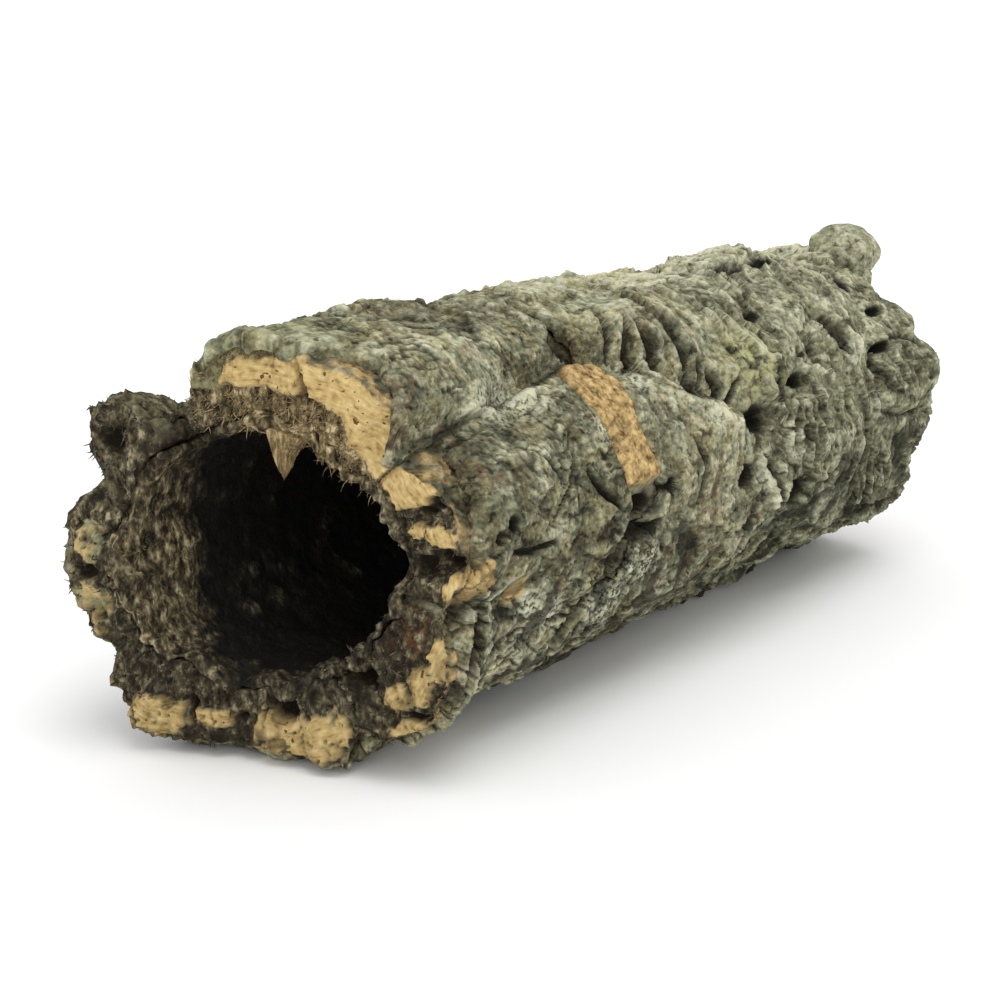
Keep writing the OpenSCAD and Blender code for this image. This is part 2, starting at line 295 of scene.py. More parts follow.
def barkColour(tree, coords):
    # grey outer bark: grains, blotches of green, olive and brown, dark specks, pale crusts and lichen
    detail = addField(tree, "detail")
    grains = addNoise(tree, coords, 1.6, 1.0, 0.5)
    clumps = addNoise(tree, coords, 3.8, 2.0, 0.6)
    patches = addNoise(tree, coords, 10, 2.0, 0.6)
    drawn = addStretch(tree, coords, (1.0, 0.3, 1.0))
    streaks = addNoise(tree, drawn, 2.2, 2.0, 0.6)
    tone = addSum(tree, [(grains, 0.15), (streaks, 0.17), (clumps, 0.16), (patches, 0.18), (detail, 0.40)])
    specks = addStep(tree, addNoise(tree, coords, 3.0, 1.0, 0.5), 0.62, 0.70)
    tone = addSum(tree, [(tone, 1.0), (specks, -0.08)])
    green = addRamp(tree, tone, [
        (0.37, rgb(36, 35, 24)), (0.47, rgb(94, 94, 73)),
        (0.54, rgb(136, 136, 110)), (0.66, rgb(206, 206, 178))])
    olive = addRamp(tree, tone, [
        (0.37, rgb(40, 35, 21)), (0.47, rgb(100, 95, 68)),
        (0.54, rgb(142, 137, 103)), (0.66, rgb(210, 204, 165))])
    brown = addRamp(tree, tone, [
        (0.36, rgb(38, 31, 21)), (0.50, rgb(112, 98, 74)), (0.66, rgb(196, 180, 148))])
    hue = addNoise(tree, coords, 16, 4.0, 0.7)
    warm = addField(tree, "warm")
    colour = addMix(tree, addMath(tree, "MULTIPLY", addStep(tree, hue, 0.46, 0.60), warm), green, olive)
    earth = addStep(tree, addNoise(tree, coords, 13, 4.0, 0.7), 0.54, 0.66)
    colour = addMix(tree, addMath(tree, "MULTIPLY", earth, warm), colour, brown)
    crust = addStep(tree, addNoise(tree, coords, 6.5, 3.0, 0.65), 0.58, 0.66)
    crust = addMath(tree, "MULTIPLY", crust, addStep(tree, detail, 0.35, 0.6))
    crust = addMath(tree, "MULTIPLY", crust, 0.55)
    spots = addMath(tree, "MULTIPLY", addField(tree, "pale"), addStep(tree, grains, 0.40, 0.56))
    colour = addMix(tree, addMath(tree, "MAXIMUM", crust, spots), colour, rgb(200, 201, 176))
    lichen = addMath(tree, "MULTIPLY", addField(tree, "lichen"), addStep(tree, clumps, 0.42, 0.56))
    return addMix(tree, lichen, colour, rgb(178, 178, 126))


def layeredColour(tree, coords):
    # bark, with inner bark and bare cork where the fields say so
    colour = barkColour(tree, coords)
    colour = addMix(tree, addField(tree, "bast"), colour, bastColour(tree, coords))
    return addMix(tree, addField(tree, "tan"), colour, corkColour(tree, coords))


def finishMaterial(tree, shader, coords, colour, bumps):
    shader.inputs["Roughness"].default_value = 0.88
    shader.inputs["Specular IOR Level"].default_value = 0.22
    tree.links.new(colour, shader.inputs["Base Color"])
    height = addSum(tree, [(addNoise(tree, coords, bumps["coarse"], 2.0, 0.6), 1.0),
                           (addNoise(tree, coords, bumps["fine"], 1.0, 0.5), 0.4)])
    bump = addNode(tree, "Bump", {"Strength": 1.0, "Distance": bumps["depth"] * mm, "Height": height})
    tree.links.new(bump.outputs["Normal"], shader.inputs["Normal"])


def barkMaterial():
    material, tree, shader, coords = newMaterial("outer bark")
    colour = layeredColour(tree, coords)
    # painted shade: the hollow field darkens folds, pits, cracks and the lower side towards near black
    colour = addMix(tree, addField(tree, "hollow"), colour, rgb(28, 25, 17))
    finishMaterial(tree, shader, coords, colour, dict(coarse=3.0, fine=1.5, depth=1.1))
    return material


def corkMaterial():
    material, tree, shader, coords = newMaterial("cork")
    colour = layeredColour(tree, coords)
    colour = addMix(tree, addField(tree, "rust"), colour, rgb(104, 66, 34))
    # painted shade: the hollow field darkens voids, folds and the gaps between bark plates, and the patches
    # low on the cut face
    colour = addMix(tree, addField(tree, "hollow"), colour, rgb(32, 25, 15))
    finishMaterial(tree, shader, coords, colour, dict(coarse=2.6, fine=1.4, depth=0.7))
    return material


def liningMaterial():
    material, tree, shader, coords = newMaterial("inner bark")
    # painted shade: the hollow field darkens the inner bark deeper in the tube
    colour = addMix(tree, addField(tree, "hollow"), bastColour(tree, coords), rgb(15, 13, 10))
    finishMaterial(tree, shader, coords, colour, dict(coarse=3.0, fine=1.6, depth=1.3))
    return material


def splinterMaterial(name, dark, middle, light):
    material, tree, shader, coords = newMaterial(name)
    fibres = addStretch(tree, coords, (1.0, 1.0, 0.18))
    fleck = addNoise(tree, fibres, 1.1, 5.0, 0.65)
    colour = addRamp(tree, fleck, [(0.30, dark), (0.48, middle), (0.68, light)])
    finishMaterial(tree, shader, coords, colour, dict(coarse=1.0, fine=0.5, depth=0.5))
    return material


outerBark = barkMaterial()
cutCork = corkMaterial()
innerBark = liningMaterial()
splinterWood = splinterMaterial("splinter", rgb(56, 45, 28), rgb(116, 98, 66), rgb(182, 160, 116))
paleFibre = splinterMaterial("pale fibre", rgb(62, 49, 32), rgb(126, 108, 78), rgb(204, 180, 136))
mossFibre = splinterMaterial("moss", rgb(34, 32, 22), rgb(80, 76, 54), rgb(146, 138, 102))
darkFibre = splinterMaterial("dark fibre", rgb(26, 22, 16), rgb(62, 56, 45), rgb(124, 116, 96))
print("materials made")


# features of the outside: y in mm from the middle, angle in degrees round from the right
pits = [
    dict(y=22.0, angle=1.0, along=5.5, across=5.0, depth=7, ripple=0.5),
    dict(y=58.0, angle=-10.0, along=8.5, across=5.5, depth=9, ripple=0.5),
    dict(y=-36.0, angle=8.0, along=3.6, across=2.8, depth=5, ripple=0.0),
    dict(y=-50.0, angle=5.0, along=8.5, across=4.2, depth=7, ripple=0.0),
    dict(y=-132.0, angle=14.0, along=3.2, across=2.8, depth=5, ripple=0.0),
    dict(y=-139.5, angle=12.0, along=2.4, across=2.2, depth=4, ripple=0.0),
    dict(y=35.0, angle=16.5, along=12.0, across=5.5, depth=8, ripple=0.8),
    dict(y=72.0, angle=24.5, along=10.5, across=4.2, depth=9, ripple=0.6),
    dict(y=0.0, angle=31.5, along=5.0, across=4.6, depth=8, ripple=0.0),
    dict(y=-50.0, angle=60.0, along=6.0, across=6.0, depth=7, ripple=0.0),
    dict(y=112.0, angle=71.0, along=9.0, across=3.0, depth=4, ripple=0.0),
    dict(y=60.0, angle=48.0, along=5.5, across=2.2, depth=3, ripple=0.6),
    dict(y=100.0, angle=43.5, along=2.6, across=5.0, depth=4, ripple=0.6),
    dict(y=147.0, angle=52.0, along=5.0, across=5.0, depth=4, ripple=0.0),
    dict(y=153.0, angle=38.0, along=7.0, across=2.6, depth=5, ripple=0.0),
    dict(y=140.0, angle=25.0, along=6.5, across=2.4, depth=4, ripple=0.0),
    dict(y=140.0, angle=-36.0, along=16.0, across=5.0, depth=9, ripple=0.0),
]
bosses = [
    dict(y=151, angle=13.5, along=24, across=15, height=4.0),
    dict(y=88, angle=82, along=31, across=12, height=3.0),
    dict(y=-100, angle=97, along=24, across=14, height=1.4),
    dict(y=2, angle=92, along=10, across=13, height=1.4),
    dict(y=-30, angle=70, along=9, across=9, height=1.6),
    dict(y=33, angle=25, along=11, across=8, height=2.0),
]
# thin flakes that curl up
curls = [
    dict(path=[(-127, 47), (-118, 46), (-110, 44), (-112, 40)], high=3.5, wide=1.8),
    dict(path=[(-101, 46), (-92, 46), (-82, 48)], high=2.6, wide=2.4),
    dict(path=[(-20, 33), (-6, 28), (8, 21), (16, 17)], high=2.6, wide=2.4),
    dict(path=[(30, 4), (35, -2), (36, -8), (31, -13)], high=2.6, wide=2.2),
    dict(path=[(94, 42), (99, 35), (103, 30)], high=3.0, wide=3.0),
    dict(path=[(114, 37), (117, 31), (118, 26)], high=3.0, wide=1.9),
    dict(path=[(62, 27), (78, 28), (92, 24), (99, 21)], high=2.4, wide=2.0),
]
# where the shoulder's edge leans on the roof
crevice = [(-162, 43), (-141, 42.5), (-125, 44.5), (-108, 46), (-93, 47), (-74, 50), (-58, 53), (-48, 56)]
# places where the bark is pleated: rolls pitch mm apart, leaning by slant
pleats = [
    dict(y=-12, angle=47, along=21, across=21, pitch=6.5, slant=0.25, height=2.4),
    dict(y=61, angle=11, along=14, across=13, pitch=5.5, slant=-0.15, height=1.6),
    dict(y=110, angle=33, along=16, across=17, pitch=8.0, slant=-0.1, height=2.6),
    dict(y=44, angle=-3, along=14, across=12, pitch=7.0, slant=0.1, height=1.8),
    dict(y=142, angle=20, along=20, across=14, pitch=6.0, slant=0.9, height=1.4),
]
# folds and cracks: width and depth in mm, lip is how far their sides stand up
clefts = [
    dict(path=[(-106, 27), (-102, 23), (-99, 19)], width=1.3, depth=3.1, lip=0.4),
    dict(path=[(-83, 20), (-77, 14), (-67, 7)], width=1.7, depth=4.2, lip=0.5),
    dict(path=[(-90, 25), (-95, 18), (-108, 11)], width=1.1, depth=2.3, lip=0.3),
    dict(path=[(-42, -1), (-52, -2), (-63, -3.5), (-71, -11), (-80, -21), (-88, -31)],
         width=4.2, depth=7.0, lip=0.6),
    dict(path=[(-137, -8), (-143, -17), (-140, -30)], width=2.2, depth=5.2, lip=0.5),
    dict(path=[(-132, 7), (-120, 5), (-106, 5)], width=1.6, depth=3.2, lip=0.4),
    dict(path=[(-97, 1.5), (-89, 4)], width=1.2, depth=2.9, lip=0.3),
    dict(path=[(-22, 66), (-25, 59), (-27, 51)], width=1.8, depth=5.2, lip=1.0),
    dict(path=[(-17, 59), (-19, 52), (-18, 46)], width=1.5, depth=4.4, lip=1.0),
    dict(path=[(-14, 54), (-10, 47), (-12, 40)], width=1.9, depth=5.5, lip=1.2),
    dict(path=[(2, 68), (-4, 57), (0, 48), (3, 41), (2, 34), (-3, 29)], width=2.3, depth=7.2, lip=1.5),
    dict(path=[(6, 43), (9, 37), (6, 29)], width=1.5, depth=4.4, lip=1.0),
    dict(path=[(12, 36), (18, 30), (11, 24)], width=1.7, depth=4.9, lip=1.0),
    dict(path=[(27, 30), (21, 26), (17, 22)], width=1.6, depth=4.7, lip=0.9),
    dict(path=[(50, 29), (48, 24), (53, 19)], width=1.5, depth=3.9, lip=0.9),
    dict(path=[(58, 20), (58, 13)], width=1.2, depth=3.6, lip=0.8),
    dict(path=[(65, 18), (64, 12.5), (58.5, 9)], width=1.2, depth=3.6, lip=0.8),
    dict(path=[(69, 14.5), (68, 10), (63, 7.5)], width=1.2, depth=3.6, lip=0.8),
    dict(path=[(68, 6), (71, 2), (67, -2)], width=1.5, depth=4.2, lip=0.8),
    dict(path=[(35, 5), (41, -1.5), (42, -6), (35, -11)], width=1.8, depth=5.7, lip=1.6),
    dict(path=[(47, 2), (48, -4)], width=1.2, depth=3.6, lip=0.7),
    dict(path=[(55, -1), (56.5, -5)], width=1.1, depth=3.1, lip=0.6),
    dict(path=[(-17, 18), (-12, 11), (-14, 2)], width=1.6, depth=3.9, lip=0.8),
    dict(path=[(106, 39), (110, 33), (112, 27)], width=3.0, depth=6.0, lip=0.8),
    dict(path=[(120, 34), (122, 28), (121, 21)], width=1.7, depth=4.7, lip=0.8),
    dict(path=[(133, 25), (143, 25)], width=1.2, depth=2.6, lip=0.4),
    dict(path=[(75, 73), (98, 71)], width=1.6, depth=3.4, lip=0.6),
    dict(path=[(-140, -12), (-147, -18), (-152, -24)], width=2.0, depth=4.5, lip=0.4),
]
# pale crusts: y, angle, reach
paleSpots = [(-44, -14, 7), (-65, -23, 9), (-57, -12, 5), (-1, 22, 4), (-112, 46, 6), (-30, 40, 6),
             (-95, 46, 8), (-68, 29, 4), (33, 0, 5), (112, 28, 4), (-98, -20, 8), (-112, -14, 6)]
# chips where the cork shows through: y, angle, reach
chips = [(-148, 0.0, 9.0), (-123, -6.0, 5.0)]


def bossRelief(y, arc, uneven, boss):
    # a raised knuckle with a groove round it, with painted shade in the groove
    far = ovalDistance(y, arc, boss) * (0.5 + 0.5 * uneven)
    groove = np.exp(-((far - 1.08) / 0.08) ** 2)
    crown = fade(0.82, 1.0, far) * (0.6 + 0.4 * far)
    return boss["height"] * (crown - 0.35 * groove), min(0.9, 0.25 * boss["height"]) * groove


def pitRelief(y, arc, uneven, pit):
    # a hole, with a lip behind it and ripples round it; painted shade fills the hole and the troughs of the
    # ripples
    far = ovalDistance(y, arc, pit) * uneven
    behind = np.where(y > pit["y"], 1, 0)
    lip = 0.2 * np.exp(-((far - 1.5) / 0.35) ** 2) * behind
    waves = np.cos((far - 1.4) * 7.5) * np.exp(-np.maximum(far - 1.4, 0) * 0.9) * (far > 1.15)
    rise = pit["depth"] * (lip - fade(0.45, 1.05, far)) + pit["ripple"] * waves * (0.3 + 0.7 * behind)
    return rise, np.maximum(fade(0.8, 1.2, far), 0.3 * pit["ripple"] * np.maximum(-waves, 0))


def pleatRelief(y, arc, waver, pleat):
    # rolls of bark side by side, with painted shade between them
    up = arc - arcOf(pleat["angle"])
    zone = np.exp(-((y - pleat["y"]) / pleat["along"]) ** 2 - (up / pleat["across"]) ** 2)
    zone = smoothstep(0.2, 0.6, zone)
    turns = (y - pleat["y"] + pleat["slant"] * up) / pleat["pitch"] + waver
    roll = 1 - np.abs(2 * (turns - np.floor(turns)) - 1)
    return pleat["height"] * zone * (roll ** 0.6 - 0.5), 0.55 * zone * fade(0.06, 0.3, roll)


def cleftRelief(y, arc, uneven, cleft):
    # behind a fold the bark stands up like a shingle, and runs out slowly; painted shade fills the fold, a
    # little wider than its groove
    far, share, side = strokeDistance(y, arc, cleft["path"])
    far = far * uneven / (cleft["width"] * (0.45 + 0.55 * np.sin(np.pi * np.clip(share, 0.06, 0.94))))
    lip = np.where(side > 0, 1.9 * smoothstep(0.7, 1.2, far) * np.exp(-far / 4),
                   0.35 * np.exp(-((far - 1.8) / 0.8) ** 2))
    return cleft["lip"] * lip - cleft["depth"] * fade(0.2, 1.1, far), 0.95 * fade(0.6, 1.35, far)


def creviceRelief(y, arc, uneven):
    # painted shade along the crevice where the shoulder's edge leans on the roof
    far, share, side = strokeDistance(y, arc, crevice)
    ends = smoothstep(0.0, 0.12, share) * fade(0.9, 1.0, share)
    rise = ends * np.where(side > 0, 1.5 * np.exp(-(far / 4.5) ** 2), 4.5 * np.exp(-(far / 5.5) ** 2))
    return rise, 0.85 * ends * fade(0.8, 2.6, far * uneven)


def curlCrest(y, arc, uneven, curl):
    far, share, _ = strokeDistance(y, arc, curl["path"])
    taper = np.sin(np.pi * np.clip(share, 0.1, 0.9)) ** 0.5
    return np.exp(-(far * uneven / curl["wide"]) ** 2) * taper


# height in mm of each kind of relief, and what it gains behind the breaks, on top and low down
relief = dict(broad=0.9, broadRear=1.6, lumps=0.35, lumpsRear=0.9, ridges=0.15, ridgesRear=0.1, rings=3.0,
              plates=0.65, platesTop=0.9, platesLow=0.7, scales=0.3, scalesTop=0.3, scalesLow=0.25,
              cracks=0.55, cracksLow=0.5, tone=0.15, fine=0.12, rearEnd=4.5, lobe=2.2, seam=2.8, knob=3.5)


def barkRelief(y, angle):
    # height in mm of the grown surface over the plain CAD skin, how dark its painted shade is, and its fine
    # relief
    arc = arcOf(angle)
    skin = skinPoints(y, angle)
    drift = [4 * fbm(skin, 24, 2, seed) + fbm(skin, 5, 1, seed + 60) for seed in (1, 2, 3)]
    bent = skin + np.column_stack(drift)
    rear = smoothstep(-62, -25, y)
    top = smoothstep(62, 85, angle) * fade(122, 140, angle)
    low = fade(-12, 8, angle)
    broad = fbm(skin, 36, 2, 4)
    lumps = fbm(bent, 13, 2, 5)
    ridges = 1 - 2 * np.abs(fbm(bent, (20, 4.0, 20), 1, 6))
    # overlapping growth rings behind the breaks
    phase = y / 10.5 + 1.3 * fbm(skin, 34, 2, 7) + 0.08 * fbm(skin, 8, 1, 13)
    ring = phase - np.floor(phase)
    ringed = smoothstep(-5, 30, y) * smoothstep(-0.15, 0.3, fbm(skin, 26, 2, 14))
    ringEdge = smoothstep(0.86, 1.0, ring) * ringed
    # loose plates and scales with torn edges
    wide = fbm(bent, 14, 3, 10)
    plates = smoothstep(0.02, 0.07, wide)
    narrow = fbm(bent, 6.0, 2, 15)
    scales = smoothstep(0.04, 0.13, narrow)
    torn = np.exp(-(wide / 0.04) ** 2)
    patchy = smoothstep(-0.2, 0.3, fbm(skin, 20, 2, 8))
    border, plateTone = cells(bent + 3.0 * np.column_stack([lumps, narrow, wide]), (6.5, 19, 6.5))
    cracks = fade(0.02, 0.11, border) * (0.2 + 0.8 * np.maximum(patchy, low)) * (1 - 0.55 * rear)
    fine = fbm(bent, 2.6, 1, 11)
    height = ((relief["broad"] + relief["broadRear"] * rear) * broad
              + (relief["lumps"] + relief["lumpsRear"] * rear) * lumps
              + (relief["ridges"] + relief["ridgesRear"] * rear) * (ridges - 0.4)
              + relief["rings"] * ringed * ((1 - ring) ** 1.6 - 0.4)
              + (relief["plates"] + relief["platesTop"] * top + relief["platesLow"] * low) * (plates - 0.4)
              + (relief["scales"] + relief["scalesTop"] * top + relief["scalesLow"] * low) * (scales - 0.4)
              - (relief["cracks"] + relief["cracksLow"] * low) * cracks
              + relief["tone"] * plateTone + relief["fine"] * fine)
    # the rear end and the front of the left lobe are rougher
    height += relief["rearEnd"] * smoothstep(140, 180, y) * fbm(skin, 20, 2, 16)
    lobe = smoothstep(118, 130, np.abs(angle)) * fade(-150, -100, y)
    height += relief["lobe"] * lobe * fbm(skin, 7, 3, 17)
    # painted shade: dark in the cracks, darker still low down, under the edges of the growth rings and
    # along the torn edges of the plates
    dark = (0.55 + 0.25 * low) * cracks + 0.45 * ringEdge + (0.28 + 0.2 * low) * torn * (1 - plates)
    uneven = 1 + 0.22 * fbm(skin, 6, 2, 12)
    waver = 0.35 * fbm(skin, 15, 2, 18)
    features = ([bossRelief(y, arc, uneven, boss) for boss in bosses]
                + [pitRelief(y, arc, uneven, pit) for pit in pits]
                + [pleatRelief(y, arc, waver, pleat) for pleat in pleats]
                + [cleftRelief(y, arc, uneven, cleft) for cleft in clefts]
                + [creviceRelief(y, arc, uneven)])
    for rise, shade in features:
        height += rise
        dark = np.maximum(dark, shade)
    # the rear seam of the shoulder is grown over, and the bark climbs the knob
    height += relief["seam"] * np.exp(-((angle - 16) / 2.6) ** 2) * smoothstep(42, 70, y)
    height += relief["knob"] * np.exp(-((y - 168) / 14) ** 2 - ((angle - 68) / 13) ** 2)
    curled = np.zeros(len(y))
    for curl in curls:
        crest = curlCrest(y, arc, uneven, curl)
        height += curl["high"] * crest
        curled = np.maximum(curled, crest)
    # painted highlight: the crests of the curls shed most of their painted shade
    dark = np.maximum(dark * (1 - 0.8 * curled), 0)
    # painted shade: dark blotches on the lower side of the tube
    dark = np.maximum(dark, 0.8 * low * smoothstep(0.12, 0.4, fbm(skin, 13, 3, 19)))
    # raised bark is paler and curled bark paler still, as painted highlight, and cracks are darker, as
    # painted shade
    detail = (0.5 + 0.22 * curled + 0.10 * lumps + 0.05 * (ridges - 0.4)
              + 0.16 * ringed * (0.5 - ring) + 0.10 * (plates - 0.4)
              + 0.06 * (scales - 0.4) + 0.12 * fine - 0.12 * cracks - 0.08 * torn + 0.10 * plateTone)
    # painted light: the rear of the roof is paler too; painted shade: the bark is darker low down; and it
    # is darker before the breaks
    detail += 0.08 * broad + 0.24 * top * smoothstep(-25, 45, y) - 0.045 * (1 - rear) - 0.09 * low
    detail += 0.05 * rear * smoothstep(30, 50, angle) * fade(10, 40, y) + 0.12 * low * fade(-95, -75, y)
    detail -= 0.06 * (1 - rear) * fade(35, 45, angle) * (1 - low)
    return height, np.clip(dark, 0, 1), np.clip(detail, 0, 1)


def warmField(y, angle):
    # brown and olive in front and on top, greener behind
    behind = smoothstep(-10, 60, y) * fade(70, 95, angle)
    return 1 - 0.75 * behind


def paleField(y, angle):
    arc = arcOf(angle)
    total = np.zeros(len(y))
    for spotY, spotAngle, reach in paleSpots:
        far = np.hypot(y - spotY, arc - arcOf(spotAngle)) / reach
        total = np.maximum(total, np.exp(-far ** 2))
    return total


def chipField(y, angle):
    arc = arcOf(angle)
    ragged = 1 + 0.35 * fbm(skinPoints(y, angle), 5, 2, 35)
    total = np.zeros(len(y))
    for chipY, chipAngle, reach in chips:
        far = np.hypot(y - chipY, arc - arcOf(chipAngle)) / reach
        total = np.maximum(total, fade(0.85, 1.0, far * ragged))
    return total


def sway(co):
    # lets the straight seams of the CAD wander, the same way on both sides of a seam
    angle, radius = tubePlaces(co)
    skin = skinPoints(co[:, 1], angle)
    moved = co.copy()
    moved[:, 1] += 2.4 * fbm(skin, 19, 2, 21) + 1.0 * fbm(skin, 6, 2, 22)
    moved[:, 1] += smoothstep(145, 185, co[:, 1]) * (7.0 * fbm(skin, 18, 2, 25) - 2.0)
    moved[:, 1] += 3.5 * fade(-165, -140, co[:, 1]) * fbm(skin, 11, 2, 26)
    lowRear = np.exp(-((angle + 18) / 22) ** 2) * smoothstep(110, 180, co[:, 1])
    moved[:, 1] -= 11.0 * lowRear
    turn = np.radians(angle + (2.2 * fbm(skin, 22, 2, 23) + 0.8 * fbm(skin, 7, 2, 24)) / 1.22)
    moved[:, 0] = axisX + radius * np.cos(turn)
    moved[:, 2] = axisZ + radius * np.sin(turn)
    return moved


def mouthRag(co):
    # how far the ragged rim of the front mouth stands into the hollow
    angle, radius = tubePlaces(co)
    skin = skinPoints(0.25 * co[:, 1], angle)
    near = fade(0, 34, squared(co[:, 1], angle, cutLean["cork"]) + 178)
    rag = 1.4 + 3.6 * fbm(skin, 15, 2, 61) + 2.0 * fbm(skin, 5.5, 2, 62)
    rag = rag - 6.0 * np.exp(-((angle - 84) / 17) ** 2)
    return near * rag * fade(49, 60, radius)


def outward(co):
    turn = np.radians(tubePlaces(co)[0])
    return np.column_stack([np.cos(turn), np.zeros(len(co)), np.sin(turn)])


def facingOut(co, normal):
    # 1 where the surface looks away from the axis, -1 where it looks at it
    return (normal * outward(co)).sum(1)


def lichenField(y, angle):
    skin = skinPoints(y, angle)
    spot = np.exp(-((y - 38) / 17) ** 2 - ((angle - 34) / 11) ** 2)
    crown = 0.8 * np.exp(-((y + 160) / 16) ** 2 - ((angle - 97) / 14) ** 2)
    return np.clip(1.3 * (spot + crown) * (0.7 + 0.6 * fbm(skin, 7, 3, 31)), 0, 1)


ribs = ["right_foot", "right_shoulder", "roof", "left_shoulder", "left_wall", "floor"]
barkGrain = dict(right_foot=0.9, right_shoulder=0.9, roof=0.95, left_shoulder=1.3, left_wall=1.6, floor=1.6)
# smoothing rounds; in mm, how far a plate's sides spread, its edge laps over and it thins at the cut,
# and how high its grain and its moss stand
barkPlate = dict(rounds=14, spread=1.8, lap=6.5, thinning=1.5, grain=0.12, moss=0.9)
# plates that lap over the one before them
lapped = ["roof_rear_bark", "left_shoulder_rear_bark", "left_wall_rear_bark", "floor_rear_bark"]


def plateEdge(co, last):
    # y of the plate's front edge, or its last one, at the angle of every point
    angle = tubePlaces(co)[0]
    binWidth = 2
    binCount = 360 // binWidth
    bins = np.clip(((angle + 180) / binWidth).astype(int), 0, binCount - 1)
    edge = np.full(binCount, -1e6 if last else 1e6)
    (np.maximum if last else np.minimum).at(edge, bins, co[:, 1])
    known = np.abs(edge) < 1e5
    middles = np.arange(binCount) * binWidth - 180 + binWidth / 2
    return np.interp(angle, middles[known], edge[known]), angle


def lapForward(co, reach):
    # draws a plate's front edge forward, over the plate before it
    here = plateEdge(co, False)[0]
    near = fade(0, 12, co[:, 1] - here)
    moved = co + outward(co) * (1.1 * near)[:, None]
    moved[:, 1] -= reach * near
    return moved


# how far the bark reaches forward over the bare strip at the front, mm over angle
frontReach = dict(angle=[-60, 0, 14, 22, 32, 40, 46, 112, 125], reach=[1, 1, 1, -4, -9, -8, -4, 5, 3])


def reachFront(co):
    here, angle = plateEdge(co, False)
    reach = np.interp(angle, frontReach["angle"], frontReach["reach"])
    loose = 3.0 - 2.4 * smoothstep(108, 118, np.abs(angle))
    reach = reach + loose * fbm(skinPoints(np.zeros(len(co)), angle), 7, 2, 27)
    moved = co.copy()
    moved[:, 1] -= reach * fade(0, 16, co[:, 1] - here)
    return moved


# front edge of the roof's bark, y in mm over angle
roofEdge = dict(angle=[44, 50, 58, 62, 66, 72, 76, 80, 87, 100, 114],
                y=[-163, -161, -155, -153, -158, -162, -172, -176, -178, -180, -180])


def meetRoof(co):
    here, angle = plateEdge(co, False)
    there = np.interp(angle, roofEdge["angle"], roofEdge["y"])
    there = there + 2.2 * fbm(skinPoints(np.zeros(len(co)), angle), 6, 2, 27)
    moved = co.copy()
    moved[:, 1] += (there - here) * fade(0, 22, co[:, 1] - here)
    return moved


# edges of the bare band on the right shoulder, y in mm over angle
bandEdge = dict(
    front=dict(angle=[-10, 10, 15, 22, 28, 36, 45, 54], y=[-60, -60, -62, -64, -65, -67, -65, -58]),
    rear=dict(angle=[-10, 10, 15, 22, 28, 35, 41, 47, 54], y=[-39, -40, -42, -45, -46, -44, -42, -43, -42]))


def bandAt(angle, plate):
    return np.interp(angle, bandEdge[plate]["angle"], bandEdge[plate]["y"])


def meetBand(co, plate):
    # draws the plate's edge to the band's edge
    here, angle = plateEdge(co, plate == "front")
    there = bandAt(angle, plate)
    near = fade(0, 24, np.abs(co[:, 1] - here)) * smoothstep(0, 8, angle)
    moved = co.copy()
    moved[:, 1] += (there - here) * near
    return moved


def underRoof(angle):
    return smoothstep(35, 60, angle) * fade(90, 112, angle)


fuzz = []  # places where fibres grow: point, direction, kind
roofSpan = dict(start=38, end=112)  # degrees


def growFuzz(where, co, normal, angle, lean):
    # pale fibres under the roof, dark ones elsewhere
    for k in np.nonzero(where)[0]:
        kind = "pale" if roofSpan["start"] < angle[k] < roofSpan["end"] else "dark"
        fuzz.append((co[k], normal[k] + np.array(lean), kind))


for rib in ribs:
    for plate in ("front", "rear"):
        node = rib + "_" + plate + "_bark"
        name = "bark." + rib + "." + plate
        piece, co, normal = softCopy(node, name, barkGrain[rib], barkPlate["rounds"])
        side = fade(0.4, 0.85, np.abs(facingOut(co, normal)) + np.abs(normal[:, 1]))
        co += normal * (barkPlate["spread"] * side)[:, None]  # closes the hairlines between plates
        co = sway(co)
        if node in lapped:
            co = lapForward(co, barkPlate["lap"])
        if node == "roof_front_bark":
            co = meetRoof(co)
        elif plate == "front":
            co = reachFront(co)
        if rib == "right_shoulder":
            co = meetBand(co, plate)
        if plate == "front":
            # the bark thins out towards the cut
            here = plateEdge(co, False)[0]
            thinner = barkPlate["thinning"] * fade(0, 9, co[:, 1] - here)
            co -= outward(co) * thinner[:, None]
        angle = tubePlaces(co)[0]
        height, dark, detail = barkRelief(co[:, 1], angle)
        co += outward(co) * height[:, None]
        co += normal * (barkPlate["grain"] * fbm(co, 4.0, 1, 33))[:, None]
        lobe = smoothstep(106, 118, np.abs(angle)) * fade(-150, -105, co[:, 1])
        mossy = lobe * smoothstep(-0.7, -0.2, fbm(co, 9, 2, 34))
        co += normal * (mossy * (barkPlate["moss"] * fbm(co, 3.6, 2, 36)))[:, None]
        dark = np.maximum(dark, 0.3 * mossy)
        writeMesh(piece, co, detail=detail, hollow=dark, bast=mossy, cream=0.25 * mossy,
                  tan=chipField(co[:, 1], angle), coarse=np.full(len(co), 0.2),
                  pale=paleField(co[:, 1], angle), lichen=lichenField(co[:, 1], angle),
                  warm=warmField(co[:, 1], angle))
        for k in np.nonzero((lobe > 0.5) & (co[:, 1] < -150))[0]:
            fuzz.append((co[k], normal[k], "moss"))
        settle(piece, node, outerBark)
    print("bark on", rib)

# cut face at the front: where the tan cork starts, as radius over angle
tanEdge = dict(
    angle=[-20, 22, 25, 28, 43, 49, 55, 61, 67, 84, 104, 112, 125],
    radius=[90, 90, 66, 52, 51, 53, 56, 61.5, 63, 63, 62, 66, 80])
tanTop = dict(angle=[50, 75, 80, 87, 92, 99, 102], radius=[90, 90, 74.5, 71.5, 70, 69, 60])
